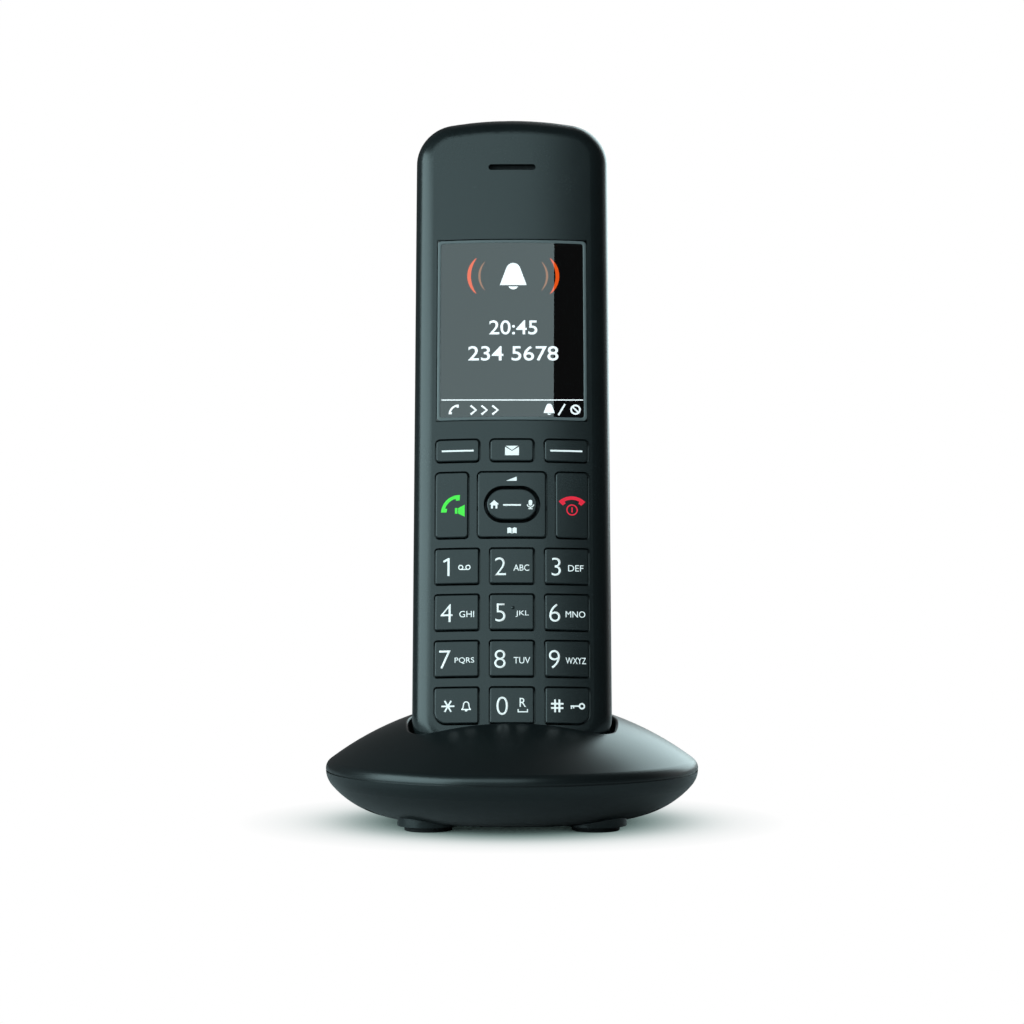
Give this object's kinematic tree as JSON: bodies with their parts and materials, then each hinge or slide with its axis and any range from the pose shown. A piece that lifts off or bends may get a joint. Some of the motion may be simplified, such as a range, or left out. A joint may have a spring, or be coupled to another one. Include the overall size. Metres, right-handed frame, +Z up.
{
  "type": "cordless phone with charging cradle",
  "caption": "Slim cordless telephone handset with display, navigation pad and number keys, leaning back in a low round domed charging cradle.",
  "frame": {"origin": "on the table, under the centre of the round cradle", "axes": "+Z up, -Y towards the user (the keypad side), +X to the user's right"},
  "size_m": [0.0892, 0.0892, 0.1703],
  "materials": {
    "handset_casing": "anthracite moulded plastic, fine spark-eroded texture, satin",
    "cradle_casing": "anthracite moulded plastic, fine spark-eroded texture, satin",
    "key_plastic": "anthracite key plastic, satin, printed white",
    "window": "clear glossy display window",
    "display": "colour display panel",
    "foam": "black foam",
    "felt": "black acoustic felt",
    "silicone": "grey silicone",
    "foot_rubber": "dark matte rubber",
    "circuit_board": "green solder mask",
    "sheet_steel": "tinned sheet steel",
    "screw_steel": "zinc plated steel",
    "gold_contact": "gold plated contact",
    "dark_capsule": "black moulded plastic",
    "cell_can": "plain sleeved rechargeable cell"
  },
  "bodies": {
    "cradle": {"cradle_top": "cradle_casing", "cradle_base": "cradle_casing", "cradle_feet": "foot_rubber", "power_socket": "dark_capsule", "charger_board": "circuit_board", "contact_barrels": "gold_contact", "cradle_screws": "screw_steel"},
    "handset": {"front_shell": "handset_casing", "rear_shell": "handset_casing", "display_window": "window", "display_gasket": "foam", "display_module": "display", "keypad_mat": "silicone", "main_board": "circuit_board", "snap_domes": "sheet_steel", "rf_shield": "sheet_steel", "antenna": "sheet_steel", "earpiece_felt": "felt", "earpiece": "dark_capsule", "loudspeaker": "dark_capsule", "microphone": "dark_capsule", "battery_cells": "cell_can", "battery_contacts": "sheet_steel", "charging_pads": "gold_contact", "case_screws": "screw_steel"},
    "battery_cover": {"battery_cover": "handset_casing"},
    "soft_key_left": {"soft_key_left": "key_plastic"},
    "message_key": {"message_key": "key_plastic"},
    "soft_key_right": {"soft_key_right": "key_plastic"},
    "call_key": {"call_key": "key_plastic"},
    "end_key": {"end_key": "key_plastic"},
    "key_1": {"key_1": "key_plastic"},
    "key_2": {"key_2": "key_plastic"},
    "key_3": {"key_3": "key_plastic"},
    "key_4": {"key_4": "key_plastic"},
    "key_5": {"key_5": "key_plastic"},
    "key_6": {"key_6": "key_plastic"},
    "key_7": {"key_7": "key_plastic"},
    "key_8": {"key_8": "key_plastic"},
    "key_9": {"key_9": "key_plastic"},
    "key_star": {"key_star": "key_plastic"},
    "key_0": {"key_0": "key_plastic"},
    "key_hash": {"key_hash": "key_plastic"},
    "nav_rocker": {"nav_rocker": "key_plastic"},
    "nav_button": {"nav_button": "key_plastic"},
    "contact_pin_left": {"contact_pin_left": "gold_contact"},
    "contact_pin_right": {"contact_pin_right": "gold_contact"}
  },
  "joints": [
    {"name": "handset_lift", "type": "slide", "parent": "cradle", "child": "handset", "axis": [0, 0.2419, 0.9703], "range_m": [0, 0.06]},
    {"name": "cover_off", "type": "slide", "parent": "handset", "child": "battery_cover", "axis": [0, 0.9703, -0.2419], "range_m": [0, 0.02]},
    {"name": "soft_key_left_press", "type": "slide", "parent": "handset", "child": "soft_key_left", "axis": [0, 0.9703, -0.2419], "range_m": [0, 0.0006], "stiffness_N_per_m": 400},
    {"name": "message_key_press", "type": "slide", "parent": "handset", "child": "message_key", "axis": [0, 0.9703, -0.2419], "range_m": [0, 0.0006], "stiffness_N_per_m": 400},
    {"name": "soft_key_right_press", "type": "slide", "parent": "handset", "child": "soft_key_right", "axis": [0, 0.9703, -0.2419], "range_m": [0, 0.0006], "stiffness_N_per_m": 400},
    {"name": "call_key_press", "type": "slide", "parent": "handset", "child": "call_key", "axis": [0, 0.9703, -0.2419], "range_m": [0, 0.0006], "stiffness_N_per_m": 400},
    {"name": "end_key_press", "type": "slide", "parent": "handset", "child": "end_key", "axis": [0, 0.9703, -0.2419], "range_m": [0, 0.0006], "stiffness_N_per_m": 400},
    {"name": "key_1_press", "type": "slide", "parent": "handset", "child": "key_1", "axis": [0, 0.9703, -0.2419], "range_m": [0, 0.0006], "stiffness_N_per_m": 400},
    {"name": "key_2_press", "type": "slide", "parent": "handset", "child": "key_2", "axis": [0, 0.9703, -0.2419], "range_m": [0, 0.0006], "stiffness_N_per_m": 400},
    {"name": "key_3_press", "type": "slide", "parent": "handset", "child": "key_3", "axis": [0, 0.9703, -0.2419], "range_m": [0, 0.0006], "stiffness_N_per_m": 400},
    {"name": "key_4_press", "type": "slide", "parent": "handset", "child": "key_4", "axis": [0, 0.9703, -0.2419], "range_m": [0, 0.0006], "stiffness_N_per_m": 400},
    {"name": "key_5_press", "type": "slide", "parent": "handset", "child": "key_5", "axis": [0, 0.9703, -0.2419], "range_m": [0, 0.0006], "stiffness_N_per_m": 400},
    {"name": "key_6_press", "type": "slide", "parent": "handset", "child": "key_6", "axis": [0, 0.9703, -0.2419], "range_m": [0, 0.0006], "stiffness_N_per_m": 400},
    {"name": "key_7_press", "type": "slide", "parent": "handset", "child": "key_7", "axis": [0, 0.9703, -0.2419], "range_m": [0, 0.0006], "stiffness_N_per_m": 400},
    {"name": "key_8_press", "type": "slide", "parent": "handset", "child": "key_8", "axis": [0, 0.9703, -0.2419], "range_m": [0, 0.0006], "stiffness_N_per_m": 400},
    {"name": "key_9_press", "type": "slide", "parent": "handset", "child": "key_9", "axis": [0, 0.9703, -0.2419], "range_m": [0, 0.0006], "stiffness_N_per_m": 400},
    {"name": "key_star_press", "type": "slide", "parent": "handset", "child": "key_star", "axis": [0, 0.9703, -0.2419], "range_m": [0, 0.0006], "stiffness_N_per_m": 400},
    {"name": "key_0_press", "type": "slide", "parent": "handset", "child": "key_0", "axis": [0, 0.9703, -0.2419], "range_m": [0, 0.0006], "stiffness_N_per_m": 400},
    {"name": "key_hash_press", "type": "slide", "parent": "handset", "child": "key_hash", "axis": [0, 0.9703, -0.2419], "range_m": [0, 0.0006], "stiffness_N_per_m": 400},
    {"name": "nav_rock", "type": "hinge", "parent": "handset", "child": "nav_rocker", "pos_m": [0, -0.00694, 0.0749], "axis": [1, 0, 0], "range_deg": [-2, 2], "stiffness_Nm_per_rad": 0.05},
    {"name": "nav_press", "type": "slide", "parent": "handset", "child": "nav_button", "axis": [0, 0.9703, -0.2419], "range_m": [0, 0.0006], "stiffness_N_per_m": 400},
    {"name": "contact_pin_left_push", "type": "slide", "parent": "cradle", "child": "contact_pin_left", "axis": [0, 0.2419, 0.9703], "range_m": [-0.0012, 0], "stiffness_N_per_m": 200},
    {"name": "contact_pin_right_push", "type": "slide", "parent": "cradle", "child": "contact_pin_right", "axis": [0, 0.2419, 0.9703], "range_m": [-0.0012, 0], "stiffness_N_per_m": 200}
  ]
}
